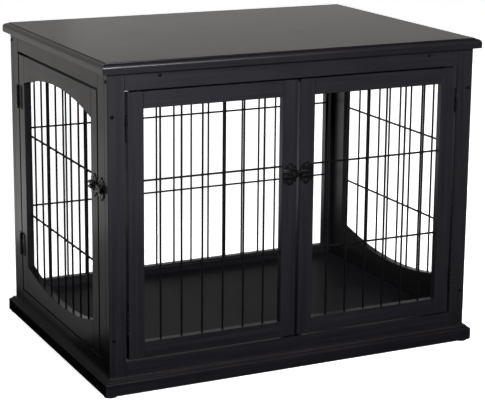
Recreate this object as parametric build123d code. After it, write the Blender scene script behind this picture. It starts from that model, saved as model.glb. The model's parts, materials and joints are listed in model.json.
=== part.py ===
from build123d import *
import math
import os

# Furniture-style dog crate: a black lacquered wooden end table whose walls are wire panels,
# with a pair of doors in the front and one door in the left side.
# Millimetres. +Z up, front faces -Y, origin on the floor under the middle of the crate.

# Overall size
BODY_W = 812.0          # outside width of the framed body, without slab or moulding
BODY_D = 580.0          # outside depth of the framed body
HEIGHT = 657.0          # floor to table top
OVERHANG = 13.0         # slab and base moulding stand out this far from the body
BOARD = 16.0            # thickness of the framing boards
EDGE_ROUND = 0.8        # sanded edge of every board

# Heights
FOOT_H = 3.0
MOULDING_TOP = 35.0
SLAB_BOTTOM = 636.0
OPENING_LOW = 65.0      # top edge of the fixed bottom rails at the doors
OPENING_HIGH = 601.0    # bottom edge of the fixed top rails at the doors
FLOOR_TOP = 50.0
FLOOR_T = 6.0

# Fixed frames
FRONT_STILE = 35.5
SIDE_STILE = 34.0
RIGHT_STILE = 58.0
BACK_STILE = 34.0
BACK_RAIL_TOP = 70.0

# Doors
GAP = 5.5               # gap beside and between the doors
GAP_Z = 3.2             # gap above and below the doors
SIDE_GAP_TOP = 5.0      # the side door hangs a little lower in its frame
DOOR_T = 15.5
DOOR_STILE = 33.0
DOOR_RAIL = 33.0
DOOR_LOW = OPENING_LOW + GAP_Z
DOOR_HIGH = OPENING_HIGH - GAP_Z
ARCH_RISE = 28.0        # height of the arch across the side door

# Wire grilles
WIRE_R = 2.1
WIRE_DEPTH = 7.5        # outer face of the frame to the middle of the upright wires
CROSS_DEPTH = 11.2      # the level wires lie behind the uprights and are welded to them
WIRE_BITE = 10.0        # length of each wire end inside the wood
SOCKET_CLEARANCE = 0.1
CROSS_HEIGHTS = [245.0, 422.0]
DOOR_WIRES = 6
DOOR_END_SPACE = 0.82
SIDE_WIRES = 8
BACK_WIRES = 16

# Hinges
HINGE_H = 48.0
KNUCKLES = 5
KNUCKLE_GAP = 0.3
PIN_CLEARANCE = 0.05
LEAF_T = 1.5
EDGE_BARREL_R = 2.4     # front door hinges, screwed to the edges inside the gap
EDGE_PIN_R = 1.1
EDGE_LEAF_DEPTH = 14.0
FACE_BARREL_R = 2.6     # side door hinges, screwed on the faces
FACE_PIN_R = 1.3
FACE_LEAF_W = 19.0
FRONT_HINGE_HEIGHTS = [143.0, 527.0]
SIDE_HINGE_HEIGHTS = [172.0, 502.0]
KEEP_CLEAR = 0.3

# Slide bolts
BOLT_HEIGHT = 408.0     # height of both bolts above the floor
BOLT_TRAVEL = 19.0
PLATE_T = 1.5
PLATE_H = 46.0
PLATE_FAR = 34.0        # far edge of the bolt plate from the middle of the gap
PLATE_NEAR = 3.5
KEEPER_FAR = 33.0
HOUSING_H = 15.5        # raised cover over the bolt
HOUSING_OUT = 6.0
CHANNEL_H = 9.6
CHANNEL_OUT = 4.2
BOLT_FIT = 0.3          # clearance of the bar in its channel
BOLT_TIP = 16.0         # tip of the shot bolt past the middle of the gap
BOLT_TAIL = 22.0
KNOB_AT = 14.5
KNOB_R = 4.6
STEM_R = 1.9

# Screws
SMALL_HEAD_R = 2.6
SMALL_SHANK_R = 1.2
SMALL_LENGTH = 11.0
HEAD_T = 1.3
SCREW_FIT = 0.05
BIG_HEAD_R = 3.8
BIG_HEAD_T = 1.4
BIG_SHANK_R = 1.6

LEFT = -BODY_W / 2
RIGHT = BODY_W / 2
FRONT = -BODY_D / 2
BACK = BODY_D / 2


def write(name, *solids):
    shape = solids[0] if len(solids) == 1 else Compound(children=list(solids))
    export_step(shape, f"parts/{name}.step")


def block(x0, x1, y0, y1, z0, z1):
    centre = Pos((x0 + x1) / 2, (y0 + y1) / 2, (z0 + z1) / 2)
    return centre * Box(abs(x1 - x0), abs(y1 - y0), abs(z1 - z0))


def board(x0, x1, y0, y1, z0, z1):
    # a sanded board
    plain = block(x0, x1, y0, y1, z0, z1)
    return fillet(plain.edges(), EDGE_ROUND)


def rod(start, end, radius):
    # a round bar between two points
    run = Vector(*end) - Vector(*start)
    return Solid.make_cylinder(radius, run.length, Plane(origin=start, z_dir=run))


def solid_of(shape):
    # the one solid that a boolean leaves
    found = shape.solids()
    assert len(found) == 1, len(found)
    return found[0]


def cut(shape, tools):
    return solid_of(shape - tools)


# Walls: each maps a place across the wall, a height and a depth behind the outer face to x, y, z.

def front_point(across, height, depth):
    return (across, FRONT + depth, height)


def back_point(across, height, depth):
    return (across, BACK - depth, height)


def left_point(across, height, depth):
    return (LEFT + depth, across, height)


def right_point(across, height, depth):
    return (RIGHT - depth, across, height)


def spread(low, high, count, end_space=1.0):
    # wires at equal spaces across an opening; the end spaces are a share of the others
    pitch = (high - low) / (count - 1 + 2 * end_space)
    return [low + pitch * (i + end_space) for i in range(count)]


def grille_rods(point, uprights, bottom, top, low, high, radius):
    # bottom and top give the opening's edge at a place across it
    rods = []
    for across in uprights:
        start = point(across, bottom(across) - WIRE_BITE, WIRE_DEPTH)
        end = point(across, top(across) + WIRE_BITE, WIRE_DEPTH)
        rods.append(rod(start, end, radius))
    for height in CROSS_HEIGHTS:
        start = point(low - WIRE_BITE, height, CROSS_DEPTH)
        end = point(high + WIRE_BITE, height, CROSS_DEPTH)
        rods.append(rod(start, end, radius))
    return rods


def grille(*layout):
    # the welded grille and the holes that its ends need
    rods = grille_rods(*layout, WIRE_R)
    holes = grille_rods(*layout, WIRE_R + SOCKET_CLEARANCE)
    return solid_of(rods[0].fuse(*rods[1:])), holes


def arch_radius(half_span):
    return (half_span ** 2 + ARCH_RISE ** 2) / (2 * ARCH_RISE)


def arch_drop(across, half_span):
    # how far the arch has fallen from its crown
    radius = arch_radius(half_span)
    return radius - math.sqrt(radius ** 2 - across ** 2)


def arch_cutter(x0, x1, half_span, crown, direction):
    # the round cut under an arch (direction 1) or over a dipped rail (direction -1)
    radius = arch_radius(half_span)
    axis_height = crown - direction * radius
    return rod((x0 - 1, 0, axis_height), (x1 + 1, 0, axis_height), radius)


def arched_board(x0, x1, half_span, low, high, crown, direction):
    plain = block(x0, x1, -half_span, half_span, low, high)
    shaped = solid_of(plain - arch_cutter(x0, x1, half_span, crown, direction))
    return fillet(shaped.edges(), EDGE_ROUND)


# Screws: local z points out of the surface, with the head's top at z = 0.

def small_screw(fit=0.0):
    shank = Solid.make_cylinder(SMALL_SHANK_R + fit, SMALL_LENGTH, Plane((0, 0, -SMALL_LENGTH)))
    cone_base = Plane((0, 0, -HEAD_T))
    head = Solid.make_cone(SMALL_SHANK_R + fit, SMALL_HEAD_R + fit, HEAD_T, cone_base)
    return shank.fuse(head)


def small_screws(places, fit=0.0):
    return [place.location * small_screw(fit) for place in places]


def big_screw(length, fit=0.0):
    shank = Solid.make_cylinder(BIG_SHANK_R + fit, length, Plane((0, 0, -length)))
    if fit:
        return shank
    head = fillet(Cylinder(BIG_HEAD_R, BIG_HEAD_T).edges().group_by(Axis.Z)[-1], BIG_HEAD_T * 0.9)
    return solid_of(shank.fuse(Pos(0, 0, BIG_HEAD_T / 2) * head))


# Hinges: local x runs across the gap towards the door, local y up, local z out of the face.

def knuckle_spans(own):
    # own is 0 for the fixed leaf, which has the end knuckles, and 1 for the door's leaf
    pitch = HINGE_H / KNUCKLES
    spans = []
    for i in range(own, KNUCKLES, 2):
        low = -HINGE_H / 2 + i * pitch + KNUCKLE_GAP / 2
        spans.append((low, low + pitch - KNUCKLE_GAP))
    return spans


def hinge_leaf(plate, bridge, barrel_r, pin_r, own):
    # plate is (x0, x1, z0, z1) of the flat leaf, bridge the same where it joins a knuckle
    bore = pin_r + (PIN_CLEARANCE if own else 0.0)
    leaf = block(plate[0], plate[1], -HINGE_H / 2, HINGE_H / 2, plate[2], plate[3])
    for low, high in knuckle_spans(own):
        leaf += block(bridge[0], bridge[1], low, high, bridge[2], bridge[3])
        leaf += rod((0, low, barrel_r), (0, high, barrel_r), barrel_r)
    return leaf - rod((0, -HINGE_H, barrel_r), (0, HINGE_H, barrel_r), bore)


def hinge_pin(barrel_r, pin_r):
    shaft = rod((0, -HINGE_H / 2 - 0.8, barrel_r), (0, HINGE_H / 2 + 0.8, barrel_r), pin_r)
    caps = []
    for side in (-1, 1):
        start = side * (HINGE_H / 2 - KNUCKLE_GAP / 2)
        caps.append(rod((0, start, barrel_r), (0, start + side * 1.2, barrel_r), barrel_r * 0.8))
    return solid_of(shaft.fuse(*caps))


def edge_leaf(own):
    side = 1 if own else -1
    outer = GAP / 2
    inner = outer - LEAF_T
    plate = (side * inner, side * outer, -EDGE_LEAF_DEPTH, -KEEP_CLEAR)
    bridge = (side * inner, side * outer, -KEEP_CLEAR - 0.5, 1.3)
    return hinge_leaf(plate, bridge, EDGE_BARREL_R, EDGE_PIN_R, own)


def face_leaf(own):
    side = 1 if own else -1
    near = FACE_BARREL_R + KEEP_CLEAR
    plate = (side * near, side * FACE_LEAF_W, 0, LEAF_T)
    bridge = (side * 1.2, side * (near + 0.5), 0, LEAF_T)
    return hinge_leaf(plate, bridge, FACE_BARREL_R, FACE_PIN_R, own)


def hinge_places(own_x, normal, up_list):
    # screw places on a leaf, two per hinge
    return [Plane(origin=(own_x[0], up, own_x[1]), z_dir=normal) for up in up_list]


def edge_screw_places(own):
    side = 1 if own else -1
    at = (side * (GAP / 2 - LEAF_T), -EDGE_LEAF_DEPTH / 2)
    return hinge_places(at, (-side, 0, 0), (-HINGE_H / 3, HINGE_H / 3))


def face_screw_places(own):
    side = 1 if own else -1
    at = (side * (FACE_LEAF_W + FACE_BARREL_R) / 2, LEAF_T)
    return hinge_places(at, (0, 0, 1), (-HINGE_H / 3, HINGE_H / 3))


def hinge_planes(origin, across, outward, heights):
    planes = []
    for height in heights:
        point = (origin[0], origin[1], height)
        planes.append(Plane(origin=point, x_dir=across, z_dir=outward))
    return planes


def hinge_group(planes, leaf, own):
    # every leaf of one side of one door, with its screws and the holes they need
    places_of = edge_screw_places if leaf is edge_leaf else face_screw_places
    leaves = []
    screws = []
    holes = []
    for plane in planes:
        local_screws = small_screws(places_of(own))
        local_holes = small_screws(places_of(own), SCREW_FIT)
        shaped = cut(leaf(own), local_holes)
        leaves.append(plane.location * shaped)
        screws += [plane.location * screw for screw in local_screws]
        holes += [plane.location * hole for hole in local_holes]
    return leaves, screws, holes


# Slide bolt: local x runs across the gap towards the keeper, local y up, local z out of the face.

def ornamental_plate(x0, x1):
    # a plate with a lobe above and below and a small lobe at each corner
    middle = (x0 + x1) / 2
    half = (x1 - x0) / 2
    belly = PLATE_H * 0.27
    lobe = half * 0.52
    bud = half * 0.30
    outline = Pos(middle, 0) * Rectangle(2 * half, 2 * belly)
    for side in (-1, 1):
        outline += Pos(middle, side * (PLATE_H / 2 - lobe)) * Circle(lobe)
        for across in (-1, 1):
            outline += Pos(middle + across * (half - bud), side * belly) * Circle(bud)
    return extrude(outline, PLATE_T)


def plate_screw_places(x0, x1):
    middle = (x0 + x1) / 2
    lobe = (x1 - x0) / 2 * 0.52
    return [Plane((middle, side * (PLATE_H / 2 - lobe), PLATE_T)) for side in (-1, 1)]


def housing(x0, x1):
    # the raised cover with its channel right through
    cover = block(x0, x1, -HOUSING_H / 2, HOUSING_H / 2, 0, PLATE_T + HOUSING_OUT)
    top_edges = cover.edges().filter_by(Axis.X).group_by(Axis.Z)[-1]
    cover = fillet(top_edges, 2.5)
    channel = block(x0 - 1, x1 + 1, -CHANNEL_H / 2, CHANNEL_H / 2, PLATE_T, PLATE_T + CHANNEL_OUT)
    return cover - channel


def bolt_plate():
    body = ornamental_plate(-PLATE_FAR, -PLATE_NEAR) + housing(-PLATE_FAR, -PLATE_NEAR)
    slot_half = STEM_R + BOLT_FIT
    slot_low = -KNOB_AT - BOLT_TRAVEL - slot_half - 1
    slot = block(slot_low, -KNOB_AT + slot_half, -slot_half, slot_half, PLATE_T + 1, 12)
    places = plate_screw_places(-PLATE_FAR, -PLATE_NEAR)
    return cut(body, [slot] + small_screws(places, SCREW_FIT)), places


def bolt_keeper():
    body = ornamental_plate(PLATE_NEAR, KEEPER_FAR) + housing(PLATE_NEAR + 1, KEEPER_FAR - 4)
    holes = [rod((x, 0, PLATE_T + 2), (x, 0, 12), 1.9) for x in (8.5, 14.5, 20.5)]
    places = plate_screw_places(PLATE_NEAR, KEEPER_FAR)
    return cut(body, holes + small_screws(places, SCREW_FIT)), places


def bolt_bar():
    low = PLATE_T + BOLT_FIT
    high = PLATE_T + CHANNEL_OUT - BOLT_FIT
    half = CHANNEL_H / 2 - BOLT_FIT
    bar = block(-BOLT_TAIL, BOLT_TIP, -half, half, low, high)
    bar = chamfer(bar.edges().filter_by(Axis.Y).group_by(Axis.X)[-1], 1.0)
    stem = rod((-KNOB_AT, 0, high - 1), (-KNOB_AT, 0, PLATE_T + HOUSING_OUT + 1), STEM_R)
    knob = Cylinder(KNOB_R, 3.8)
    knob = fillet(knob.edges(), 1.3)
    knob = Pos(-KNOB_AT, 0, PLATE_T + HOUSING_OUT + BOLT_FIT + 1.9) * knob
    return solid_of(bar + stem + knob)


def bolt_set(plane):
    plate, plate_places = bolt_plate()
    keeper, keeper_places = bolt_keeper()
    return {
        "plate": plane.location * plate,
        "keeper": plane.location * keeper,
        "bolt": plane.location * bolt_bar(),
        "plate_screws": [plane.location * s for s in small_screws(plate_places)],
        "plate_holes": [plane.location * s for s in small_screws(plate_places, SCREW_FIT)],
        "keeper_screws": [plane.location * s for s in small_screws(keeper_places)],
        "keeper_holes": [plane.location * s for s in small_screws(keeper_places, SCREW_FIT)],
    }


# Trim

def ringed(outwards, z0, z1):
    return block(LEFT - outwards, RIGHT + outwards, FRONT - outwards, BACK + outwards, z0, z1)


def top_panel():
    # square edge below, a round nosing, and a small step up to the table top
    nosing = ringed(OVERHANG, SLAB_BOTTOM, HEIGHT - 2)
    nosing = fillet(nosing.edges().group_by(Axis.Z)[-1], 8.5)
    nosing = fillet(nosing.edges().group_by(Axis.Z)[0], EDGE_ROUND)
    plateau = ringed(2.5, SLAB_BOTTOM + 10, HEIGHT)
    plateau = fillet(plateau.edges().group_by(Axis.Z)[-1], 1.4)
    return solid_of(nosing + plateau)


def base_ring():
    bead = ringed(OVERHANG, FOOT_H, 30)
    bead = fillet(bead.edges().group_by(Axis.Z)[-1], 4.5)
    bead = fillet(bead.edges().group_by(Axis.Z)[0], 1.5)
    shoulder = ringed(7.5, 20, MOULDING_TOP)
    shoulder = chamfer(shoulder.edges().group_by(Axis.Z)[-1], 3.0)
    return bead + shoulder - ringed(0, -10, HEIGHT)


def base_mouldings():
    # four lengths with mitred corners
    ring = base_ring()
    far = OVERHANG + 5
    corners = [(LEFT, FRONT), (RIGHT, FRONT), (RIGHT, BACK), (LEFT, BACK)]
    names = ["front", "right", "back", "left"]
    lengths = {}
    for i, name in enumerate(names):
        (xa, ya), (xb, yb) = corners[i], corners[(i + 1) % 4]
        outer_b = (xb + math.copysign(far, xb), yb + math.copysign(far, yb))
        outer_a = (xa + math.copysign(far, xa), ya + math.copysign(far, ya))
        wedge = make_face(Polyline((xa, ya), (xb, yb), outer_b, outer_a, close=True))
        lengths[name] = solid_of(ring & extrude(wedge, HEIGHT))
    return lengths


def foot_pads():
    pads = []
    for x in (LEFT + 2, RIGHT - 2):
        for y in (FRONT + 2, BACK - 2):
            pads.append(Pos(x, y, FOOT_H / 2) * Cylinder(13, FOOT_H))
    return pads


# Big screws that pull the frames together, as (plane, length)

def frame_screw_places():
    places = []
    for side, edge in ((-1, LEFT), (1, RIGHT)):
        for height in (112.0, 553.0):
            across = edge - side * BOARD * 0.6
            places.append((Plane(origin=(across, FRONT, height), z_dir=(0, -1, 0)), 42))
            places.append((Plane(origin=(across, BACK, height), z_dir=(0, 1, 0)), 42))
        for y in (FRONT + BOARD / 2, BACK - BOARD / 2):
            places.append((Plane(origin=(edge, y, 620), z_dir=(side, 0, 0)), 60))
        apron = edge - side * 107
        places.append((Plane(origin=(apron, FRONT, 627), z_dir=(0, -1, 0)), BOARD - 2))
    return places


def front_frame(holes):
    inner = FRONT_STILE
    y1 = FRONT + BOARD
    parts = {
        "front_left_stile": board(LEFT, LEFT + inner, FRONT, y1, FOOT_H, SLAB_BOTTOM),
        "front_right_stile": board(RIGHT - inner, RIGHT, FRONT, y1, FOOT_H, SLAB_BOTTOM),
        "front_top_rail": board(LEFT + inner, RIGHT - inner, FRONT, y1, OPENING_HIGH, SLAB_BOTTOM),
        "front_bottom_rail": board(LEFT + inner, RIGHT - inner, FRONT, y1, FOOT_H, OPENING_LOW),
    }
    return {name: cut(shape, holes) for name, shape in parts.items()}


def back_frame(holes):
    low = LEFT + BACK_STILE
    high = RIGHT - BACK_STILE
    y0 = BACK - BOARD
    layout = (
        back_point, spread(low, high, BACK_WIRES),
        lambda across: BACK_RAIL_TOP, lambda across: OPENING_HIGH, low, high,
    )
    wires, sockets = grille(*layout)
    parts = {
        "back_left_stile": board(LEFT, low, y0, BACK, FOOT_H, SLAB_BOTTOM),
        "back_right_stile": board(high, RIGHT, y0, BACK, FOOT_H, SLAB_BOTTOM),
        "back_top_rail": board(low, high, y0, BACK, OPENING_HIGH, SLAB_BOTTOM),
        "back_bottom_rail": board(low, high, y0, BACK, FOOT_H, BACK_RAIL_TOP),
    }
    result = {name: cut(shape, holes + sockets) for name, shape in parts.items()}
    result["back_wire_grille"] = wires
    return result


def left_frame(holes):
    # fixed frame around the side door
    y0 = FRONT + BOARD
    y1 = BACK - BOARD
    low = y0 + SIDE_STILE
    high = y1 - SIDE_STILE
    x1 = LEFT + BOARD
    parts = {
        "left_front_stile": board(LEFT, x1, y0, low, FOOT_H, SLAB_BOTTOM),
        "left_rear_stile": board(LEFT, x1, high, y1, FOOT_H, SLAB_BOTTOM),
        "left_top_rail": board(LEFT, x1, low, high, OPENING_HIGH, SLAB_BOTTOM),
        "left_bottom_rail": board(LEFT, x1, low, high, FOOT_H, OPENING_LOW),
    }
    return {name: cut(shape, holes) for name, shape in parts.items()}


def right_frame(holes):
    # fixed wire panel with an arched top rail and a dipped bottom rail
    y0 = FRONT + BOARD
    y1 = BACK - BOARD
    low = y0 + RIGHT_STILE
    high = y1 - RIGHT_STILE
    x0 = RIGHT - BOARD
    crown = DOOR_HIGH - DOOR_RAIL
    dip = DOOR_LOW + DOOR_RAIL
    pitch = (high - low) / (SIDE_WIRES + 1.6)
    uprights = [pitch * (i - (SIDE_WIRES - 1) / 2) for i in range(SIDE_WIRES)]
    layout = (
        right_point, uprights,
        lambda across: dip + arch_drop(across, high), lambda across: crown - arch_drop(across, high),
        low, high,
    )
    wires, sockets = grille(*layout)
    parts = {
        "right_front_stile": board(x0, RIGHT, y0, low, FOOT_H, SLAB_BOTTOM),
        "right_rear_stile": board(x0, RIGHT, high, y1, FOOT_H, SLAB_BOTTOM),
        "right_arched_top_rail": arched_board(x0, RIGHT, high, crown - ARCH_RISE - 8, SLAB_BOTTOM, crown, 1),
        "right_dipped_bottom_rail": arched_board(x0, RIGHT, high, FOOT_H, dip + ARCH_RISE + 8, dip, -1),
    }
    result = {name: cut(shape, holes + sockets) for name, shape in parts.items()}
    result["right_wire_grille"] = wires
    return result


def front_door(name, low, high, hinge_at_low, holes):
    y1 = FRONT + DOOR_T
    inner_low = low + DOOR_STILE
    inner_high = high - DOOR_STILE
    bottom = DOOR_LOW + DOOR_RAIL
    top = DOOR_HIGH - DOOR_RAIL
    layout = (
        front_point, spread(inner_low, inner_high, DOOR_WIRES, DOOR_END_SPACE),
        lambda across: bottom, lambda across: top, inner_low, inner_high,
    )
    wires, sockets = grille(*layout)
    low_stile = board(low, inner_low, FRONT, y1, DOOR_LOW, DOOR_HIGH)
    high_stile = board(inner_high, high, FRONT, y1, DOOR_LOW, DOOR_HIGH)
    hinge_stile, latch_stile = (low_stile, high_stile) if hinge_at_low else (high_stile, low_stile)
    parts = {
        f"{name}_hinge_stile": hinge_stile,
        f"{name}_latch_stile": latch_stile,
        f"{name}_top_rail": board(inner_low, inner_high, FRONT, y1, top, DOOR_HIGH),
        f"{name}_bottom_rail": board(inner_low, inner_high, FRONT, y1, DOOR_LOW, bottom),
    }
    result = {node: cut(shape, holes + sockets) for node, shape in parts.items()}
    result[f"{name}_wire_grille"] = wires
    return result


def side_door(low, high, holes):
    x1 = LEFT + DOOR_T
    top = OPENING_HIGH - SIDE_GAP_TOP
    inner_low = low + DOOR_STILE
    inner_high = high - DOOR_STILE
    crown = DOOR_HIGH - DOOR_RAIL
    dip = DOOR_LOW + DOOR_RAIL
    layout = (
        left_point, spread(inner_low, inner_high, SIDE_WIRES),
        lambda across: dip + arch_drop(across, inner_high),
        lambda across: crown - arch_drop(across, inner_high), inner_low, inner_high,
    )
    wires, sockets = grille(*layout)
    parts = {
        "side_door_hinge_stile": board(LEFT, x1, inner_high, high, DOOR_LOW, top),
        "side_door_latch_stile": board(LEFT, x1, low, inner_low, DOOR_LOW, top),
        "side_door_arched_top_rail": arched_board(
            LEFT, x1, inner_high, crown - ARCH_RISE - 8, top, crown, 1),
        "side_door_dipped_bottom_rail": arched_board(
            LEFT, x1, inner_high, DOOR_LOW, dip + ARCH_RISE + 8, dip, -1),
    }
    result = {node: cut(shape, holes + sockets) for node, shape in parts.items()}
    result["side_door_wire_grille"] = wires
    return result


def floor_panel():
    inset = BOARD + 0.5
    low = FLOOR_TOP - FLOOR_T
    plain = block(LEFT + inset, RIGHT - inset, FRONT + inset, BACK - inset, low, FLOOR_TOP)
    return fillet(plain.edges().group_by(Axis.Z)[-1], EDGE_ROUND)


def floor_cleats():
    # battens on the inside of the frames that carry the floor
    x0 = LEFT + BOARD
    x1 = RIGHT - BOARD
    y0 = FRONT + BOARD
    y1 = BACK - BOARD
    size = 14.0
    z1 = FLOOR_TOP - FLOOR_T
    z0 = z1 - size
    return [
        block(x0, x1, y0, y0 + size, z0, z1),
        block(x0, x1, y1 - size, y1, z0, z1),
        block(x0, x0 + size, y0 + size, y1 - size, z0, z1),
        block(x1 - size, x1, y0 + size, y1 - size, z0, z1),
    ]


def door_stops():
    # strips and blocks inside the frame that the closed doors rest against
    y0 = FRONT + BOARD
    x0 = LEFT + BOARD
    stile_edge = y0 + SIDE_STILE
    stops = [
        board(-352, 352, y0, y0 + 12, OPENING_HIGH - 12, OPENING_HIGH + 14),
        board(-20, 20, y0, y0 + 12, FLOOR_TOP + 1, OPENING_LOW + 12),
    ]
    for height in (140.0, 530.0):
        stops.append(board(x0, x0 + 12, stile_edge - 10, stile_edge + 12, height, height + 30))
    return stops


os.makedirs("parts", exist_ok=True)

# Door places
left_low = LEFT + FRONT_STILE + GAP
left_high = -GAP / 2
side_low = FRONT + BOARD + SIDE_STILE + GAP
side_high = BACK - BOARD - SIDE_STILE - GAP

# Hinge planes stand on the face at the middle of the gap
outward_front = (0, -1, 0)
outward_left = (-1, 0, 0)
gap_left = (left_low - GAP / 2, FRONT)
gap_right = (-gap_left[0], FRONT)
gap_side = (LEFT, side_high + GAP / 2)
left_planes = hinge_planes(gap_left, (1, 0, 0), outward_front, FRONT_HINGE_HEIGHTS)
right_planes = hinge_planes(gap_right, (-1, 0, 0), outward_front, FRONT_HINGE_HEIGHTS)
side_planes = hinge_planes(gap_side, (0, -1, 0), outward_left, SIDE_HINGE_HEIGHTS)

left_post = hinge_group(left_planes, edge_leaf, 0)
left_own = hinge_group(left_planes, edge_leaf, 1)
right_post = hinge_group(right_planes, edge_leaf, 0)
right_own = hinge_group(right_planes, edge_leaf, 1)
side_post = hinge_group(side_planes, face_leaf, 0)
side_own = hinge_group(side_planes, face_leaf, 1)

# Slide bolts: one holds the front doors together, one holds the side door to its frame
front_bolt = bolt_set(Plane((0, FRONT, BOLT_HEIGHT), x_dir=(1, 0, 0), z_dir=outward_front))
side_gap = (LEFT, side_low - GAP / 2, BOLT_HEIGHT)
side_bolt = bolt_set(Plane(side_gap, x_dir=(0, -1, 0), z_dir=outward_left))

# Fasteners in the fixed frame
frame_screws = []
frame_holes = []
for plane, length in frame_screw_places():
    frame_screws.append(plane.location * big_screw(length))
    frame_holes.append(plane.location * big_screw(length, SCREW_FIT))

front_holes = frame_holes + left_post[2] + right_post[2]
left_holes = frame_holes + side_post[2] + side_bolt["keeper_holes"]

nodes = {}
nodes.update(front_frame(front_holes))
nodes.update(back_frame(frame_holes))
nodes.update(left_frame(left_holes))
nodes.update(right_frame(frame_holes))
nodes.update(front_door("left_door", left_low, left_high, True, left_own[2] + front_bolt["plate_holes"]))
nodes.update(front_door("right_door", -left_high, -left_low, False, right_own[2] + front_bolt["keeper_holes"]))
nodes.update(side_door(side_low, side_high, side_own[2] + side_bolt["plate_holes"]))

for name, shape in base_mouldings().items():
    nodes[f"base_{name}_moulding"] = shape

nodes["top_panel"] = top_panel()
nodes["floor_panel"] = floor_panel()
nodes["front_bolt_plate"] = front_bolt["plate"]
nodes["front_bolt_keeper"] = front_bolt["keeper"]
nodes["front_bolt"] = front_bolt["bolt"]
nodes["side_bolt_plate"] = side_bolt["plate"]
nodes["side_bolt_keeper"] = side_bolt["keeper"]
nodes["side_bolt"] = side_bolt["bolt"]

groups = {
    "floor_cleats": floor_cleats(),
    "door_stops": door_stops(),
    "foot_pads": foot_pads(),
    "frame_screws": frame_screws,
    "front_hinge_post_leaves": left_post[0] + right_post[0],
    "side_hinge_frame_leaves": side_post[0],
    "left_door_hinge_leaves": left_own[0],
    "right_door_hinge_leaves": right_own[0],
    "side_door_hinge_leaves": side_own[0],
    "carcass_small_screws": left_post[1] + right_post[1] + side_post[1] + side_bolt["keeper_screws"],
    "left_door_screws": left_own[1] + front_bolt["plate_screws"],
    "right_door_screws": right_own[1] + front_bolt["keeper_screws"],
    "side_door_screws": side_own[1] + side_bolt["plate_screws"],
}
pins = [plane.location * hinge_pin(EDGE_BARREL_R, EDGE_PIN_R) for plane in left_planes + right_planes]
pins += [plane.location * hinge_pin(FACE_BARREL_R, FACE_PIN_R) for plane in side_planes]
groups["hinge_pins"] = pins

for name, shape in nodes.items():
    write(name, shape)
for name, solids in groups.items():
    write(name, *solids)

print(len(nodes) + len(groups), "nodes written")
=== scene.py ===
import json
import math

import bmesh
import bpy
from mathutils import Matrix, Vector

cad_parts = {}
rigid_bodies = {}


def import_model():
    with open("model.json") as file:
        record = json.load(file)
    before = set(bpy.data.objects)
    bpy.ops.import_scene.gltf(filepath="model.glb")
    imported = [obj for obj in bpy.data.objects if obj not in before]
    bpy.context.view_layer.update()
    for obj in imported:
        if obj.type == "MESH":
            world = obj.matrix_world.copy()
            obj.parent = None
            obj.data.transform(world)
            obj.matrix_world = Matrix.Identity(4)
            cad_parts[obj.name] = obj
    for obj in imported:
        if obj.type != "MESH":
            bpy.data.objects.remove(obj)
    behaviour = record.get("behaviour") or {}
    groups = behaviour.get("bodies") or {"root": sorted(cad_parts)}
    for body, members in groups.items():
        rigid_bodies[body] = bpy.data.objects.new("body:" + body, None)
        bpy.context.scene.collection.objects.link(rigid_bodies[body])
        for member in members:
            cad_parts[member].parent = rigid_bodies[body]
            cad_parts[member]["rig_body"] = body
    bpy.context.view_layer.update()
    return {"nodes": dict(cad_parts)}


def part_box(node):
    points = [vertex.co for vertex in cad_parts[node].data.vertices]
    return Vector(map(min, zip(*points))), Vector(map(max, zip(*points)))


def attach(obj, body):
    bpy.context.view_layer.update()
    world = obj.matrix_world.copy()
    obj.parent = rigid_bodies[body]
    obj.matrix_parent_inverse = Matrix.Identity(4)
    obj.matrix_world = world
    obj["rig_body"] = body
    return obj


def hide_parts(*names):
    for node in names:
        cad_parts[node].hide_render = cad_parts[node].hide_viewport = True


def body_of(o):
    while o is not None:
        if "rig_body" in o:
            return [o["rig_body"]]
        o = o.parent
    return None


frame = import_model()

sceneCollection = bpy.context.scene.collection
mm = 0.001
print("frame loaded:", len(frame["nodes"]), "nodes")


# helpers

def hexColour(code):
    channels = [int(code[i:i + 2], 16) / 255 for i in (1, 3, 5)]
    linear = [c / 12.92 if c <= 0.04045 else ((c + 0.055) / 1.055) ** 2.4 for c in channels]
    return (*linear, 1.0)


def addNode(tree, kind, settings=None, values=None, links=None):
    node = tree.nodes.new(kind)
    for name, value in (settings or {}).items():
        setattr(node, name, value)
    for socket, value in (values or {}).items():
        node.inputs[socket].default_value = value
    for socket, source in (links or {}).items():
        tree.links.new(source, node.inputs[socket])
    return node


def newMaterial(name):
    material = bpy.data.materials.new(name)
    material.use_nodes = True
    tree = material.node_tree
    tree.nodes.clear()
    return material, tree


def finishMaterial(tree, values, links):
    shader = addNode(tree, "ShaderNodeBsdfPrincipled", values=values, links=links)
    addNode(tree, "ShaderNodeOutputMaterial", links={"Surface": shader.outputs["BSDF"]})


def perMetre(size):
    return 1.0 / (size * mm)  # a texture's repeats per metre, from a real size in millimetres


def nodeBox(name):
    low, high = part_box(name)
    return Vector(low), Vector(high)


# camera and light

view = {
    "place": (-1.4664, -3.0482, 1.1510),  # metres, in front of the crate's left end
    "turn": 25.952,  # degrees to the right of straight on
    "tip": 12.708,  # degrees down
    "roll": 0.506,
    "lens": 119.3,
    "shiftY": -0.1,
}


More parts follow.
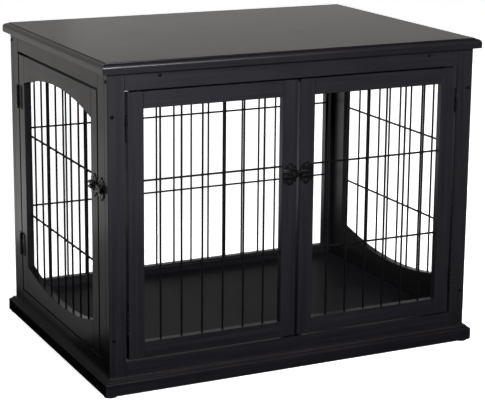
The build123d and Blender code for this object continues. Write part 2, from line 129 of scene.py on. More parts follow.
def makeCamera():
    turn, tip, roll = (math.radians(view[key]) for key in ("turn", "tip", "roll"))
    ahead = Vector((math.sin(turn) * math.cos(tip), math.cos(turn) * math.cos(tip), -math.sin(tip)))
    level = Vector((math.cos(turn), -math.sin(turn), 0))
    upright = level.cross(ahead)
    right = level * math.cos(roll) + upright * math.sin(roll)
    up = upright * math.cos(roll) - level * math.sin(roll)
    data = bpy.data.cameras.new("camera")
    data.lens = view["lens"]
    data.sensor_width = 36.0
    data.shift_y = view["shiftY"]
    data.clip_start = 0.05
    camera = bpy.data.objects.new("camera", data)
    stance = Matrix((right, up, -ahead)).transposed().to_4x4()
    camera.matrix_world = Matrix.Translation(view["place"]) @ stance
    sceneCollection.objects.link(camera)
    bpy.context.scene.camera = camera


studio = {
    "floorHex": "#f7f7f7",
    "floorReach": 14.0,
    "floorGlow": 0.78,  # keeps the floor near white where the softboxes leave it dim
    "worldHex": "#ffffff",
    "sunStrength": 0.85,  # falls on the floor alone, so the crate keeps a faint contact shadow
    "sunSpread": 70,  # degrees; wide, for a soft shadow
    "panels": [  # name, place, aim, width, height, brightness of its face, tint
        ("rearSweep", (2.7, 3.3, 0.8), (2.7, 0.0, 0.8), 3.8, 1.5, 0.55, "#fffdf9"),
        ("leftRearSweep", (-1.6, 3.3, 1.4), (-1.6, 0.0, 1.4), 4.8, 2.8, 0.34, "#fffdf9"),
        ("leftRearBounce", (-2.2, 2.8, 0.02), (-2.2, 2.8, 3.0), 2.6, 2.8, 0.40, "#fffbf9"),
        ("leftNearBounce", (-1.2, 0.9, 0.02), (-1.2, 0.9, 3.0), 1.5, 1.8, 0.20, "#fffbf9"),
        ("frontBounce", (-0.3, -2.7, 0.02), (-0.3, -2.7, 3.0), 2.1, 2.2, 0.76, "#f0ecff"),
        ("frontNearBounce", (0.6, -1.1, 0.02), (0.6, -1.1, 3.0), 2.8, 1.4, 0.06, "#f3f1ff"),
        ("frontSoftbox", (-0.25, -2.4, 1.50), (-0.25, 0.0, 0.5), 1.4, 0.42, 38.0, "#f8f7ff"),
        ("rightSoftbox", (3.6, 1.2, 1.6), (0.0, 0.3, 0.4), 2.4, 1.8, 0.9, "#ffffff"),
        ("rightBounce", (2.1, 0.4, 0.02), (2.1, 0.4, 3.0), 2.4, 3.4, 0.8, "#ffffff"),
        ("rearBounce", (0.6, 1.9, 0.02), (0.6, 1.9, 3.0), 3.0, 2.2, 0.8, "#ffffff"),
        ("leftFrontBounce", (-2.1, -1.5, 0.02), (-2.1, -1.5, 3.0), 2.2, 2.2, 0.8, "#ffffff"),
        ("rightFrontSweep", (3.6, -2.6, 0.9), (0.0, 0.0, 0.6), 2.6, 1.7, 0.35, "#ffffff"),
    ],
}


def aimed(place, target):
    # a turn that points local -Z at the target
    return (Vector(target) - Vector(place)).to_track_quat("-Z", "Y").to_matrix().to_4x4()


def makeStudio():
    for name, place, target, width, height, brightness, tint in studio["panels"]:
        data = bpy.data.lights.new(name, "AREA")
        data.shape = "RECTANGLE"
        data.size = width
        data.size_y = height
        data.energy = math.pi * width * height * brightness  # watts for that brightness
        data.color = hexColour(tint)[:3]
        lamp = bpy.data.objects.new(name, data)
        lamp.matrix_world = Matrix.Translation(place) @ aimed(place, target)
        lamp.visible_camera = False
        sceneCollection.objects.link(lamp)
    world = bpy.data.worlds.new("whiteStudio")
    bpy.context.scene.world = world
    world.use_nodes = True
    world.node_tree.nodes["Background"].inputs["Color"].default_value = hexColour(studio["worldHex"])
    world.cycles_visibility.diffuse = False  # the softboxes alone light the crate
    world.cycles_visibility.glossy = False
    bpy.context.scene.view_settings.view_transform = "Standard"


def makeFloor():
    material, tree = newMaterial("paleSweep")  # matt painted studio floor
    colour = hexColour(studio["floorHex"])
    finishMaterial(tree, {"Base Color": colour, "Roughness": 0.9, "Emission Color": colour,
                          "Emission Strength": studio["floorGlow"]}, {})
    mesh = bpy.data.meshes.new("studioFloor")
    reach = studio["floorReach"]
    corners = [(-reach, -reach, 0), (reach, -reach, 0), (reach, reach, 0), (-reach, reach, 0)]
    mesh.from_pydata(corners, [], [(0, 1, 2, 3)])
    floor = bpy.data.objects.new("studioFloor", mesh)
    mesh.materials.append(material)
    sceneCollection.objects.link(floor)
    floor.visible_diffuse = False  # a flagged studio: the black lacquer doesn't mirror the white floor
    floor.visible_glossy = False
    onlyFloor = bpy.data.collections.new("onlyFloor")
    onlyFloor.objects.link(floor)
    data = bpy.data.lights.new("floorSun", "SUN")
    data.energy = studio["sunStrength"]
    data.angle = math.radians(studio["sunSpread"])
    sun = bpy.data.objects.new("floorSun", data)
    sceneCollection.objects.link(sun)
    sun.light_linking.receiver_collection = onlyFloor


makeCamera()
makeStudio()
makeFloor()
print("camera, lights and floor made")


# finishes

lacquerLook = {
    "bodyHex": "#131216",  # black pigmented lacquer, a little blue
    "streakHex": "#1d1b1f",  # where the grain shows through as lighter streaks
    "rubbedEdgeAndHighlightHex": "#3a3634",  # lighter edges: sanded wear where the film is thin, and a painted highlight along the edges
    "poreAcross": 3.0,  # mm between pores; real ones are about 1 mm, too fine to show
    "poreAlong": 70.0,
    "streakAcross": 8.0,
    "streakAlong": 320.0,
    "peel": 2.2,  # mm, the sprayed film's orange peel
    "smudge": 90.0,
}


def grainScale(axis, across, along):
    scale = [perMetre(across)] * 3
    scale[axis] = perMetre(along)
    return scale


def blackLacquer(name, grainAxis, roughness, coat, relief, sheens):
    # Sprayed satin lacquer on sanded pine: nearly black, soft broad reflections, grain felt more than seen
    material, tree = newMaterial(name)
    place = addNode(tree, "ShaderNodeTexCoord")
    each = addNode(tree, "ShaderNodeObjectInfo")
    offset = addNode(tree, "ShaderNodeVectorMath", {"operation": "SCALE"}, {0: (3.1, 5.7, 7.3)},
                     {"Scale": each.outputs["Random"]})
    own = addNode(tree, "ShaderNodeVectorMath", {"operation": "ADD"}, None,
                  {0: place.outputs["Object"], 1: offset.outputs["Vector"]})
    look = lacquerLook
    poreMap = addNode(tree, "ShaderNodeMapping", None,
                      {"Scale": grainScale(grainAxis, look["poreAcross"], look["poreAlong"])},
                      {"Vector": own.outputs["Vector"]})
    streakMap = addNode(tree, "ShaderNodeMapping", None,
                        {"Scale": grainScale(grainAxis, look["streakAcross"], look["streakAlong"])},
                        {"Vector": own.outputs["Vector"]})
    pores = addNode(tree, "ShaderNodeTexNoise", None, {"Scale": 1.0, "Detail": 4.0, "Roughness": 0.6},
                    {"Vector": poreMap.outputs["Vector"]})
    streaks = addNode(tree, "ShaderNodeTexNoise", None, {"Scale": 1.0, "Detail": 3.0, "Roughness": 0.55},
                      {"Vector": streakMap.outputs["Vector"]})
    peel = addNode(tree, "ShaderNodeTexNoise", None,
                   {"Scale": perMetre(look["peel"]), "Detail": 2.0}, {"Vector": own.outputs["Vector"]})
    smudge = addNode(tree, "ShaderNodeTexNoise", None,
                     {"Scale": perMetre(look["smudge"]), "Detail": 4.0, "Roughness": 0.6},
                     {"Vector": own.outputs["Vector"]})
    streakMask = addNode(tree, "ShaderNodeMapRange", None,
                         {"From Min": 0.35, "From Max": 0.72}, {"Value": streaks.outputs["Fac"]})
    colour = addNode(tree, "ShaderNodeMix", {"data_type": "RGBA"},
                     {6: hexColour(look["bodyHex"]), 7: hexColour(look["streakHex"])},
                     {0: streakMask.outputs["Result"]})
    # an edge is where the surface turns away from the board's own flat faces
    facing = addNode(tree, "ShaderNodeVectorMath", {"operation": "ABSOLUTE"}, None,
                     {0: place.outputs["Normal"]})
    sides = addNode(tree, "ShaderNodeSeparateXYZ", None, None, {"Vector": facing.outputs["Vector"]})
    greater = addNode(tree, "ShaderNodeMath", {"operation": "MAXIMUM"}, None,
                      {0: sides.outputs["X"], 1: sides.outputs["Y"]})
    greatest = addNode(tree, "ShaderNodeMath", {"operation": "MAXIMUM"}, None,
                       {0: greater.outputs["Value"], 1: sides.outputs["Z"]})
    edge = addNode(tree, "ShaderNodeMapRange", None,
                   {"From Min": 0.985, "From Max": 0.80, "To Min": 0.0, "To Max": 0.5},
                   {"Value": greatest.outputs["Value"]})
    # edges lightened towards the rubbed colour in smudge-noise patches: partly sanded wear, partly a painted
    # highlight where the edges catch the light
    edgeWearAndHighlight = addNode(tree, "ShaderNodeMath", {"operation": "MULTIPLY"}, None,
                   {0: edge.outputs["Result"], 1: smudge.outputs["Fac"]})
    tinted = addNode(tree, "ShaderNodeMix", {"data_type": "RGBA"}, {7: hexColour(look["rubbedEdgeAndHighlightHex"])},
                     {0: edgeWearAndHighlight.outputs["Value"], 6: colour.outputs[2]})
    rough = addNode(tree, "ShaderNodeMapRange", None,
                    {"From Min": 0.3, "From Max": 0.7, "To Min": roughness - 0.02 * relief,
                     "To Max": roughness + 0.03 * relief}, {"Value": smudge.outputs["Fac"]})
    roughGrain = addNode(tree, "ShaderNodeMath", {"operation": "MULTIPLY_ADD"}, {1: 0.05 * relief},
                         {0: streakMask.outputs["Result"], 2: rough.outputs["Result"]})
    # thin film over a sanded edge dries flatter than the faces do
    sheen = addNode(tree, "ShaderNodeMapRange", None,
                    {"From Min": 0.0, "From Max": 0.08, "To Min": sheens[0], "To Max": sheens[1]},
                    {"Value": edge.outputs["Result"]})
    coated = addNode(tree, "ShaderNodeMath", {"operation": "MULTIPLY"}, {1: coat / 0.5},
                     {0: sheen.outputs["Result"]})
    grain = addNode(tree, "ShaderNodeBump", None,
                    {"Strength": 0.20 * relief, "Distance": 0.00030}, {"Height": pores.outputs["Fac"]})
    film = addNode(tree, "ShaderNodeBump", None, {"Strength": 0.12 * relief, "Distance": 0.00012},
                   {"Height": peel.outputs["Fac"], "Normal": grain.outputs["Normal"]})
    finishMaterial(tree, {"IOR": 1.5, "Coat Roughness": 0.22, "Coat IOR": 1.5},
                   {"Base Color": tinted.outputs[2], "Roughness": roughGrain.outputs["Value"],
                    "Specular IOR Level": sheen.outputs["Result"], "Coat Weight": coated.outputs["Value"],
                    "Normal": film.outputs["Normal"]})
    return material


def coatedSteel(name, baseHex, wornHex, roughness, grit, relief, wear, sheen=0.5):
    # Black coating on mild steel: fine sprayed texture, greyer in scattered patches where it has rubbed thin
    material, tree = newMaterial(name)
    place = addNode(tree, "ShaderNodeTexCoord")
    grain = addNode(tree, "ShaderNodeTexNoise", None, {"Scale": perMetre(grit), "Detail": 3.0},
                    {"Vector": place.outputs["Object"]})
    patches = addNode(tree, "ShaderNodeTexNoise", None,
                      {"Scale": perMetre(14.0), "Detail": 5.0, "Roughness": 0.65},
                      {"Vector": place.outputs["Object"]})
    rubbed = addNode(tree, "ShaderNodeMapRange", None,
                     {"From Min": 0.55, "From Max": 0.75, "To Min": 0.0, "To Max": wear},
                     {"Value": patches.outputs["Fac"]})
    colour = addNode(tree, "ShaderNodeMix", {"data_type": "RGBA"},
                     {6: hexColour(baseHex), 7: hexColour(wornHex)}, {0: rubbed.outputs["Result"]})
    rough = addNode(tree, "ShaderNodeMapRange", None,
                    {"From Min": 0.3, "From Max": 0.7, "To Min": roughness - 0.06,
                     "To Max": roughness + 0.08}, {"Value": patches.outputs["Fac"]})
    bump = addNode(tree, "ShaderNodeBump", None, {"Strength": relief, "Distance": 0.0001},
                   {"Height": grain.outputs["Fac"]})
    finishMaterial(tree, {"IOR": 1.5, "Specular IOR Level": sheen},
                   {"Base Color": colour.outputs[2], "Roughness": rough.outputs["Result"],
                    "Normal": bump.outputs["Normal"]})
    return material


def footRubber():
    # Moulded rubber: matt, faintly dusty
    material, tree = newMaterial("mouldedRubber")
    place = addNode(tree, "ShaderNodeTexCoord")
    dust = addNode(tree, "ShaderNodeTexNoise", None, {"Scale": perMetre(6.0), "Detail": 5.0},
                   {"Vector": place.outputs["Object"]})
    colour = addNode(tree, "ShaderNodeMix", {"data_type": "RGBA"},
                     {6: hexColour("#19191a"), 7: hexColour("#2b2a29")}, {0: dust.outputs["Fac"]})
    bump = addNode(tree, "ShaderNodeBump", None, {"Strength": 0.2, "Distance": 0.0002},
                   {"Height": dust.outputs["Fac"]})
    finishMaterial(tree, {"Roughness": 0.75},
                   {"Base Color": colour.outputs[2], "Normal": bump.outputs["Normal"]})
    return material


lacquerAlong = {
    "x": blackLacquer("satinLacquerGrainX", 0, 0.36, 0.25, 1.0, (0.5, 0.06)),
    "y": blackLacquer("satinLacquerGrainY", 1, 0.36, 0.25, 1.0, (0.5, 0.06)),
    "z": blackLacquer("satinLacquerGrainZ", 2, 0.36, 0.25, 1.0, (0.5, 0.06)),
}
topLacquer = blackLacquer("tableTopLacquer", 0, 0.30, 0.35, 0.35, (0.5, 0.5))
floorLacquer = blackLacquer("floorBoardLacquer", 0, 0.52, 0.0, 0.5, (0.28, 0.2))
wireCoat = coatedSteel("powderCoatedWire", "#070708", "#161618", 0.42, 0.9, 0.25, 0.5, 0.2)
hardwareEnamel = coatedSteel("blackEnamelSteel", "#0a0a0a", "#2c2a28", 0.28, 1.4, 0.30, 0.6, 0.35)
screwOxide = coatedSteel("blackOxideSteel", "#161618", "#4a4846", 0.36, 0.8, 0.20, 0.7)
screwPaint = coatedSteel("blackPaintedScrew", "#060606", "#141313", 0.60, 0.8, 0.30, 0.5, 0.12)
rubber = footRubber()
print("materials made")


def setMaterial(piece, material):
    piece.data.materials.clear()
    piece.data.materials.append(material)


def grainOf(name):
    # a board's grain runs along its longest side
    low, high = nodeBox(name)
    size = high - low
    return "xyz"[max(range(3), key=lambda axis: size[axis])]


for name, piece in frame["nodes"].items():
    if name == "top_panel":
        setMaterial(piece, topLacquer)
    elif name == "floor_panel":
        setMaterial(piece, floorLacquer)
    elif name == "foot_pads":
        setMaterial(piece, rubber)
    elif "screws" in name:
        setMaterial(piece, screwOxide)
    elif "grille" in name:
        setMaterial(piece, wireCoat)
    elif "leaves" in name or "pins" in name or "bolt" in name:
        setMaterial(piece, hardwareEnamel)
    else:
        setMaterial(piece, lacquerAlong[grainOf(name)])


# wire grilles

grilleSizes = {
    "wireRadius": 2.1 * mm,
    "bite": 10 * mm,  # length of wire inside the wood at each end
    "levelOffset": 3.7 * mm,  # level wires lie this far behind the uprights
    "levels": (245 * mm, 422 * mm),
    "archRise": 28 * mm,
    "bow": 0.35 * mm,  # how far a hand-loaded wire strays from straight
    "beadScale": (1.25, 0.95, 1.25),  # a weld bead squeezed between the wires it joins
}


def newTree(name, sockets):
    tree = bpy.data.node_groups.new(name, "GeometryNodeTree")
    tree.interface.new_socket("Geometry", in_out="OUTPUT", socket_type="NodeSocketGeometry")
    for label, kind in sockets.items():
        tree.interface.new_socket(label, in_out="INPUT", socket_type=f"NodeSocket{kind}")
    return tree, addNode(tree, "NodeGroupInput").outputs


def maths(tree, operation, *terms):
    # one Math node; a term is a number or another node's output
    node = addNode(tree, "ShaderNodeMath", {"operation": operation})
    for i, term in enumerate(terms):
        if isinstance(term, (int, float)):
            node.inputs[i].default_value = term
        else:
            tree.links.new(term, node.inputs[i])
    return node.outputs[0]


def vectorOf(tree, x=0.0, y=0.0, z=0.0):
    node = addNode(tree, "ShaderNodeCombineXYZ")
    for i, term in enumerate((x, y, z)):
        if isinstance(term, (int, float)):
            node.inputs[i].default_value = term
        else:
            tree.links.new(term, node.inputs[i])
    return node.outputs[0]


def closeTree(tree, shapes, finish):
    joined = addNode(tree, "GeometryNodeJoinGeometry")
    for shape in shapes:
        tree.links.new(shape, joined.inputs[0])
    real = addNode(tree, "GeometryNodeRealizeInstances", links={0: joined.outputs[0]})
    smooth = addNode(tree, "GeometryNodeSetShadeSmooth", links={0: real.outputs[0]})
    painted = addNode(tree, "GeometryNodeSetMaterial",
                      links={"Geometry": smooth.outputs[0], "Material": finish})
    addNode(tree, "NodeGroupOutput", links={0: painted.outputs[0]})


def grilleTree():
    tree, given = newTree("wireGrille", {
        "Upright Count": "Int", "First Upright": "Float", "Pitch": "Float",
        "Bottom": "Float", "Top": "Float",
        "Arch Rise": "Float", "Half Span": "Float", "Bite": "Float", "Wire Radius": "Float",
        "Lower Level": "Float", "Upper Level": "Float", "Level Offset": "Float", "Bow": "Float",
        "Seed": "Float", "Finish": "Material",
    })
    feet = addNode(tree, "GeometryNodeMeshLine", {"mode": "OFFSET"}, None, {
        "Count": given["Upright Count"],
        "Start Location": vectorOf(tree, given["First Upright"]),
        "Offset": vectorOf(tree, given["Pitch"]),
    })
    unit = addNode(tree, "GeometryNodeCurvePrimitiveLine", None, {"Start": (0, 0, 0), "End": (0, 0, 1)})
    unitFine = addNode(tree, "GeometryNodeResampleCurve", None, {"Count": 32}, {"Curve": unit.outputs[0]})
    stood = addNode(tree, "GeometryNodeInstanceOnPoints", None, None,
                    {"Points": feet.outputs[0], "Instance": unitFine.outputs[0]})
    standing = addNode(tree, "GeometryNodeRealizeInstances", links={0: stood.outputs[0]})
    here = addNode(tree, "GeometryNodeInputPosition")
    at = addNode(tree, "ShaderNodeSeparateXYZ", links={0: here.outputs[0]}).outputs
    share = maths(tree, "DIVIDE", at["X"], given["Half Span"])
    drop = maths(tree, "MULTIPLY", given["Arch Rise"], maths(tree, "MULTIPLY", share, share))
    low = maths(tree, "SUBTRACT", maths(tree, "ADD", given["Bottom"], drop), given["Bite"])
    high = maths(tree, "ADD", maths(tree, "SUBTRACT", given["Top"], drop), given["Bite"])
    height = maths(tree, "MULTIPLY_ADD", maths(tree, "SUBTRACT", high, low), at["Z"], low)
    placed = addNode(tree, "GeometryNodeSetPosition", None, None,
                     {"Geometry": standing.outputs[0], "Position": vectorOf(tree, at["X"], 0.0, height)})
    # a slow wander that is nothing at the welds' scale but stops the wires looking ruled
    drift = addNode(tree, "ShaderNodeTexNoise", {"noise_dimensions": "4D"}, {"Scale": 4.0, "Detail": 1.0},
                    {"Vector": here.outputs[0], "W": given["Seed"]})
    centred = addNode(tree, "ShaderNodeVectorMath", {"operation": "SUBTRACT"}, {1: (0.5, 0.5, 0.5)},
                      {0: drift.outputs["Color"]})
    wander = addNode(tree, "ShaderNodeVectorMath", {"operation": "SCALE"}, None,
                     {0: centred.outputs[0], "Scale": given["Bow"]})
    bowed = addNode(tree, "GeometryNodeSetPosition", None, None,
                    {"Geometry": placed.outputs[0], "Offset": wander.outputs[0]})
    section = addNode(tree, "GeometryNodeCurvePrimitiveCircle", None, {"Resolution": 12},
                      {"Radius": given["Wire Radius"]})
    uprights = addNode(tree, "GeometryNodeCurveToMesh", None, {"Fill Caps": True},
                       {"Curve": bowed.outputs[0], "Profile Curve": section.outputs[0]})
    reach = maths(tree, "ADD", given["Half Span"], given["Bite"])
    bar = addNode(tree, "GeometryNodeCurvePrimitiveLine", None, None,
                  {"Start": vectorOf(tree, maths(tree, "MULTIPLY", reach, -1.0)),
                   "End": vectorOf(tree, reach)})
    barFine = addNode(tree, "GeometryNodeResampleCurve", None, {"Count": 48}, {"Curve": bar.outputs[0]})
    step = maths(tree, "SUBTRACT", given["Upper Level"], given["Lower Level"])
    rungs = addNode(tree, "GeometryNodeMeshLine", {"mode": "OFFSET"}, {"Count": 2}, {
        "Start Location": vectorOf(tree, 0.0, given["Level Offset"], given["Lower Level"]),
        "Offset": vectorOf(tree, 0.0, 0.0, step),
    })
    laid = addNode(tree, "GeometryNodeInstanceOnPoints", None, None,
                   {"Points": rungs.outputs[0], "Instance": barFine.outputs[0]})
    laidReal = addNode(tree, "GeometryNodeRealizeInstances", links={0: laid.outputs[0]})
    laidBowed = addNode(tree, "GeometryNodeSetPosition", None, None,
                        {"Geometry": laidReal.outputs[0], "Offset": wander.outputs[0]})
    levels = addNode(tree, "GeometryNodeCurveToMesh", None, {"Fill Caps": True},
                     {"Curve": laidBowed.outputs[0], "Profile Curve": section.outputs[0]})
    # the squeezed bead of a spot weld at every crossing
    half = maths(tree, "MULTIPLY", given["Level Offset"], 0.5)
    weldRungs = addNode(tree, "GeometryNodeMeshLine", {"mode": "OFFSET"}, {"Count": 2}, {
        "Start Location": vectorOf(tree, 0.0, half, given["Lower Level"]),
        "Offset": vectorOf(tree, 0.0, 0.0, step),
    })
    crossed = addNode(tree, "GeometryNodeInstanceOnPoints", None, None,
                      {"Points": feet.outputs[0], "Instance": weldRungs.outputs[0]})
    crossings = addNode(tree, "GeometryNodeRealizeInstances", links={0: crossed.outputs[0]})
    bead = addNode(tree, "GeometryNodeMeshIcoSphere", None, {"Subdivisions": 2},
                   {"Radius": maths(tree, "MULTIPLY", given["Wire Radius"], 1.15)})
    beads = addNode(tree, "GeometryNodeInstanceOnPoints", None, {"Scale": grilleSizes["beadScale"]},
                    {"Points": crossings.outputs[0], "Instance": bead.outputs[0]})
    closeTree(tree, [uprights.outputs[0], levels.outputs[0], beads.outputs[0]], given["Finish"])
    return tree


def grow(tree, values, base=None):
    # runs a tree on a holder object and gives back the plain mesh
    holder = base or bpy.data.objects.new("holder", bpy.data.meshes.new("holder"))
    if not holder.users_collection:
        sceneCollection.objects.link(holder)
    modifier = holder.modifiers.new("grow", "NODES")
    modifier.node_group = tree
    for item in tree.interface.items_tree:
        if item.in_out == "INPUT" and item.name in values:
            modifier[item.identifier] = values[item.name]
    graph = bpy.context.evaluated_depsgraph_get()
    mesh = bpy.data.meshes.new_from_object(holder.evaluated_get(graph), depsgraph=graph)
    bpy.data.objects.remove(holder)
    return mesh


def addPiece(name, mesh, body, slot, *nodes):
    mesh.name = name
    piece = bpy.data.objects.new(name, mesh)
    sceneCollection.objects.link(piece)
    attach(piece, body)
    if nodes:
        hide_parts(*nodes)
    return piece


grilles = [  # node, body, rails below and above, posts at its ends, uprights, spaces left at the ends, arched
    ("left_door", "left_door", "left_door_bottom_rail", "left_door_top_rail",
     "left_door_hinge_stile", "left_door_latch_stile", 6, 1.64, False),
    ("right_door", "right_door", "right_door_bottom_rail", "right_door_top_rail",
     "right_door_latch_stile", "right_door_hinge_stile", 6, 1.64, False),
    ("side_door", "side_door", "side_door_dipped_bottom_rail", "side_door_arched_top_rail",
     "side_door_latch_stile", "side_door_hinge_stile", 8, 2.0, True),
    ("right", "carcass", "right_dipped_bottom_rail", "right_arched_top_rail",
     "right_front_stile", "right_rear_stile", 8, 2.6, True),
    ("back", "carcass", "back_bottom_rail", "back_top_rail",
     "back_left_stile", "back_right_stile", 16, 2.0, False),
]
wallTurn = {"left_door": 0, "right_door": 0, "side_door": -90, "right": 90, "back": 180}


def makeGrilles():
    tree = grilleTree()
    for seed, (name, body, below, above, firstPost, lastPost, count, ends, arched) in enumerate(grilles):
        across = 0 if wallTurn[name] in (0, 180) else 1
        start = nodeBox(firstPost)[1][across]
        stop = nodeBox(lastPost)[0][across]
        rise = grilleSizes["archRise"] if arched else 0.0
        pitch = (stop - start) / (count - 1 + ends)
        low, high = nodeBox(f"{name}_wire_grille")
        mesh = grow(tree, {
            "Upright Count": count,
            "First Upright": -pitch * (count - 1) / 2,
            "Pitch": pitch,
            "Bottom": nodeBox(below)[1].z - rise,
            "Top": nodeBox(above)[0].z + rise,
            "Arch Rise": rise,
            "Half Span": (stop - start) / 2,
            "Bite": grilleSizes["bite"],
            "Wire Radius": grilleSizes["wireRadius"],
            "Lower Level": grilleSizes["levels"][0],
            "Upper Level": grilleSizes["levels"][1],
            "Level Offset": grilleSizes["levelOffset"],
            "Bow": grilleSizes["bow"],
            "Seed": seed * 3.7,
            "Finish": wireCoat,
        })
        # the wires' plane lies one radius inside the outer side of the grille's box
        radius = grilleSizes["wireRadius"]
        place = (low + high) / 2
        place.z = 0
        outerSide = {0: low.y + radius, 180: high.y - radius, -90: low.x + radius, 90: high.x - radius}
        place[1 - across] = outerSide[wallTurn[name]]
        turn = Matrix.Rotation(math.radians(wallTurn[name]), 4, "Z")
        mesh.transform(Matrix.Translation(place) @ turn)
        addPiece(f"{name}_wires", mesh, body, "black_wire", f"{name}_wire_grille")


makeGrilles()
print("wire grilles made")


# screws

screwShape = {
    "headRim": 0.32,  # height of the head's straight rim as a share of its thickness
    "recessWidth": 0.30,  # width of the cross recess as a share of the head's radius
    "recessReach": 0.62,
    "recessDepth": 0.7,  # as a share of the head's height
    "recessTapers": ((0.5, 1.15), (-1.0, 0.55)),  # height as a share of the depth, then width there
    "domeSteps": 6,
    "steps": 28,
    "sharpAngle": 40,
    "seed": 11,
}
doubleGap = 0.002 * mm  # points of the CAD mesh closer than this are one point


def islandsOf(name):
    # the separate solids in one CAD node, each as a list of its points
    work = bmesh.new()
    work.from_mesh(frame["nodes"][name].data)
    bmesh.ops.remove_doubles(work, verts=work.verts, dist=doubleGap)
    islands = []
    seen = set()
    for start in work.verts:
        if start in seen:
            continue
        seen.add(start)
        queue = [start]
        points = []
        while queue:
            vert = queue.pop()
            points.append(vert.co.copy())
            for edge in vert.link_edges:
                other = edge.other_vert(vert)
                if other not in seen:
                    seen.add(other)
                    queue.append(other)
        islands.append(points)
    work.free()
    return islands


def screwPlaces(name):
    # where each screw's head is, which way it faces, and how large the screw is
    places = []
    for points in islandsOf(name):
        low = Vector([min(p[i] for p in points) for i in range(3)])
        high = Vector([max(p[i] for p in points) for i in range(3)])
        size = high - low
        axis = max(range(3), key=lambda i: size[i])
        middle = (low + high) / 2

        def girth(end):
            ring = [p for p in points if abs(p[axis] - end) < 0.1 * size[axis]]
            return max((p - middle).length_squared - (p[axis] - middle[axis]) ** 2 for p in ring)

        atHigh = girth(high[axis]) > girth(low[axis])
        head = middle.copy()
        head[axis] = high[axis] if atHigh else low[axis]
        facing = Vector((0, 0, 0))
        facing[axis] = 1.0 if atHigh else -1.0
        places.append((head, facing, size[axis]))
    return places


def latheMesh(name, outline, steps):
    # a closed turned shape about Z from (radius, height) points, both ends on the axis
    work = bmesh.new()
    verts = [work.verts.new((radius, 0, height)) for radius, height in outline]
    edges = [work.edges.new(pair) for pair in zip(verts, verts[1:])]
    bmesh.ops.spin(work, geom=verts + edges, cent=(0, 0, 0), axis=(0, 0, 1),
                   angle=math.tau, steps=steps, use_merge=True)
    bmesh.ops.remove_doubles(work, verts=work.verts, dist=0.001 * mm)
    bmesh.ops.recalc_face_normals(work, faces=work.faces)
    mesh = bpy.data.meshes.new(name)
    work.to_mesh(mesh)
    work.free()
    return mesh


def crossCutter(width, reach, depth):
    # a tapered plus sign that stands in the head and points down
    work = bmesh.new()
    rows = []
    for share, taper in screwShape["recessTapers"]:
        height = share * depth
        half = width / 2 * taper
        far = reach * taper
        ring = []
        for quarter in range(4):
            cosine = round(math.cos(quarter * math.pi / 2))
            sine = round(math.sin(quarter * math.pi / 2))
            for x, y in ((far, -half), (far, half), (half, half)):
                ring.append(work.verts.new((cosine * x - sine * y, sine * x + cosine * y, height)))
        rows.append(ring)
    upper, lower = rows
    count = len(upper)
    for i in range(count):
        j = (i + 1) % count
        work.faces.new((upper[i], lower[i], lower[j], upper[j]))
    work.faces.new(upper)
    work.faces.new(lower[::-1])
    bmesh.ops.recalc_face_normals(work, faces=work.faces)
    mesh = bpy.data.meshes.new("crossCutter")
    work.to_mesh(mesh)
    work.free()
    return mesh


def screwObject(headRadius, headHeight, shankRadius, length):
    # a pan head with a cross recess on a plain shank; its top is at the origin and it points down -Z
    rim = headHeight * screwShape["headRim"]
    dome = headHeight - rim
    outline = [(0, 0)]
    for i in range(1, screwShape["domeSteps"] + 1):
        turn = i / screwShape["domeSteps"] * math.pi / 2
        outline.append((headRadius * math.sin(turn), dome * (math.cos(turn) - 1)))
    outline += [(headRadius, -headHeight), (shankRadius, -headHeight),
                (shankRadius, -length + shankRadius), (0, -length)]
    screw = bpy.data.objects.new("screw", latheMesh("screw", outline, screwShape["steps"]))
    cutter = bpy.data.objects.new("cutter", crossCutter(
        screwShape["recessWidth"] * headRadius,
        screwShape["recessReach"] * headRadius,
        screwShape["recessDepth"] * headHeight,
    ))
    sceneCollection.objects.link(screw)
    sceneCollection.objects.link(cutter)
    cut = screw.modifiers.new("recess", "BOOLEAN")
    cut.operation = "DIFFERENCE"
    cut.solver = "EXACT"
    cut.object = cutter
    graph = bpy.context.evaluated_depsgraph_get()
    mesh = bpy.data.meshes.new_from_object(screw.evaluated_get(graph), depsgraph=graph)
    bpy.data.objects.remove(cutter)
    screw.modifiers.clear()
    screw.data = mesh
    return screw


def screwTree():
    tree, given = newTree("screwSet", {
        "Places": "Geometry", "Screw": "Object", "Seed": "Int", "Finish": "Material",
    })
    facing = addNode(tree, "GeometryNodeInputNamedAttribute", {"data_type": "FLOAT_VECTOR"},
                     {"Name": "facing"})
    stand = addNode(tree, "FunctionNodeAlignRotationToVector", {"axis": "Z"}, None,
                    {"Vector": facing.outputs["Attribute"]})
    driven = addNode(tree, "FunctionNodeRandomValue", {"data_type": "FLOAT"}, None, {"Seed": given["Seed"]})
    turn = maths(tree, "MULTIPLY", driven.outputs[1], math.pi / 2)
    spin = addNode(tree, "FunctionNodeAxisAngleToRotation", None, {"Axis": (0, 0, 1)}, {"Angle": turn})
    rotation = addNode(tree, "FunctionNodeRotateRotation", {"rotation_space": "LOCAL"}, None,
                       {"Rotation": stand.outputs[0], "Rotate By": spin.outputs[0]})
    shape = addNode(tree, "GeometryNodeObjectInfo", {"transform_space": "ORIGINAL"}, None,
                    {"Object": given["Screw"]})
    driveIn = addNode(tree, "GeometryNodeInstanceOnPoints", None, None, {
        "Points": given["Places"], "Instance": shape.outputs["Geometry"], "Rotation": rotation.outputs[0]})
    closeTree(tree, [driveIn.outputs[0]], given["Finish"])
    return tree


screwGroups = [  # node, head radius, head height, shank radius in mm, finish
    ("frame_screws", 3.8, 1.4, 1.6, screwPaint),
    ("carcass_small_screws", 2.6, 1.3, 1.2, screwOxide),
    ("left_door_screws", 2.6, 1.3, 1.2, screwOxide),
    ("right_door_screws", 2.6, 1.3, 1.2, screwOxide),
    ("side_door_screws", 2.6, 1.3, 1.2, screwOxide),
]


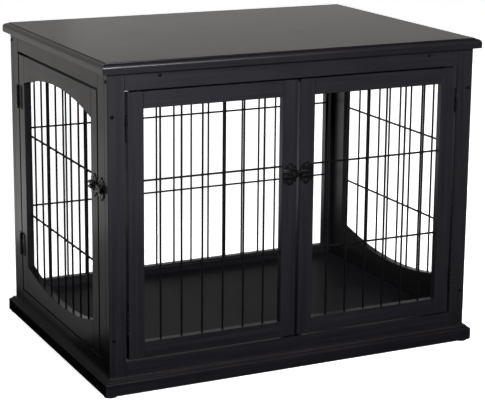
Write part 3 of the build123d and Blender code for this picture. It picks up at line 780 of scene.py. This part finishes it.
def makeScrews():
    tree = screwTree()
    for seed, (node, headRadius, headHeight, shankRadius, finish) in enumerate(screwGroups):
        places = screwPlaces(node)
        meshes = []
        for length in sorted({round(place[2], 4) for place in places}):
            chosen = [place for place in places if round(place[2], 4) == length]
            spots = bpy.data.meshes.new("spots")
            spots.from_pydata([place[0] for place in chosen], [], [])
            attribute = spots.attributes.new("facing", "FLOAT_VECTOR", "POINT")
            for i, place in enumerate(chosen):
                attribute.data[i].vector = place[1]
            screw = screwObject(headRadius * mm, headHeight * mm, shankRadius * mm, length)
            meshes.append(grow(tree, {"Screw": screw, "Seed": screwShape["seed"] + seed, "Finish": finish},
                               bpy.data.objects.new("holder", spots)))
            bpy.data.objects.remove(screw)
        work = bmesh.new()
        for mesh in meshes:
            work.from_mesh(mesh)
        joined = bpy.data.meshes.new(node)
        work.to_mesh(joined)
        work.free()
        joined.materials.append(finish)
        joined.shade_smooth()
        joined.set_sharp_from_angle(angle=math.radians(screwShape["sharpAngle"]))
        addPiece(f"{node}_turned", joined, body_of(frame["nodes"][node])[0], "black_screw", node)


makeScrews()
print("screws made")


# hinges and slide bolts

hardwareEdges = {  # node: width in mm of the softened pressed edges
    "front_hinge_post_leaves": 0.25, "side_hinge_frame_leaves": 0.3, "left_door_hinge_leaves": 0.25,
    "right_door_hinge_leaves": 0.25, "side_door_hinge_leaves": 0.3,
    "front_bolt_plate": 0.35, "front_bolt_keeper": 0.35, "side_bolt_plate": 0.35, "side_bolt_keeper": 0.35,
    "front_bolt": 0.2, "side_bolt": 0.2, "hinge_pins": 0.15,
}
pressing = {"segments": 2, "flatAngle": 1, "bevelAngle": 35, "sharpAngle": 50}  # angles in degrees


def softened(name, width):
    # the CAD shape with its doubled points merged and its sharp edges rolled over
    work = bmesh.new()
    work.from_mesh(frame["nodes"][name].data)
    bmesh.ops.remove_doubles(work, verts=work.verts, dist=doubleGap)
    bmesh.ops.dissolve_limit(work, angle_limit=math.radians(pressing["flatAngle"]), verts=work.verts,
                             edges=work.edges)
    mesh = bpy.data.meshes.new(name)
    work.to_mesh(mesh)
    work.free()
    shape = bpy.data.objects.new("shape", mesh)
    sceneCollection.objects.link(shape)
    bevel = shape.modifiers.new("rolledEdge", "BEVEL")
    bevel.width = width * mm
    bevel.segments = pressing["segments"]
    bevel.limit_method = "ANGLE"
    bevel.angle_limit = math.radians(pressing["bevelAngle"])
    graph = bpy.context.evaluated_depsgraph_get()
    soft = bpy.data.meshes.new_from_object(shape.evaluated_get(graph), depsgraph=graph)
    bpy.data.objects.remove(shape)
    return soft


def makeHardware():
    for node, width in hardwareEdges.items():
        mesh = softened(node, width)
        mesh.materials.clear()
        mesh.materials.append(hardwareEnamel)
        mesh.shade_smooth()
        mesh.set_sharp_from_angle(angle=math.radians(pressing["sharpAngle"]))
        addPiece(f"{node}_pressed", mesh, body_of(frame["nodes"][node])[0], "black_hardware", node)


makeHardware()
print("hinges and bolts made")
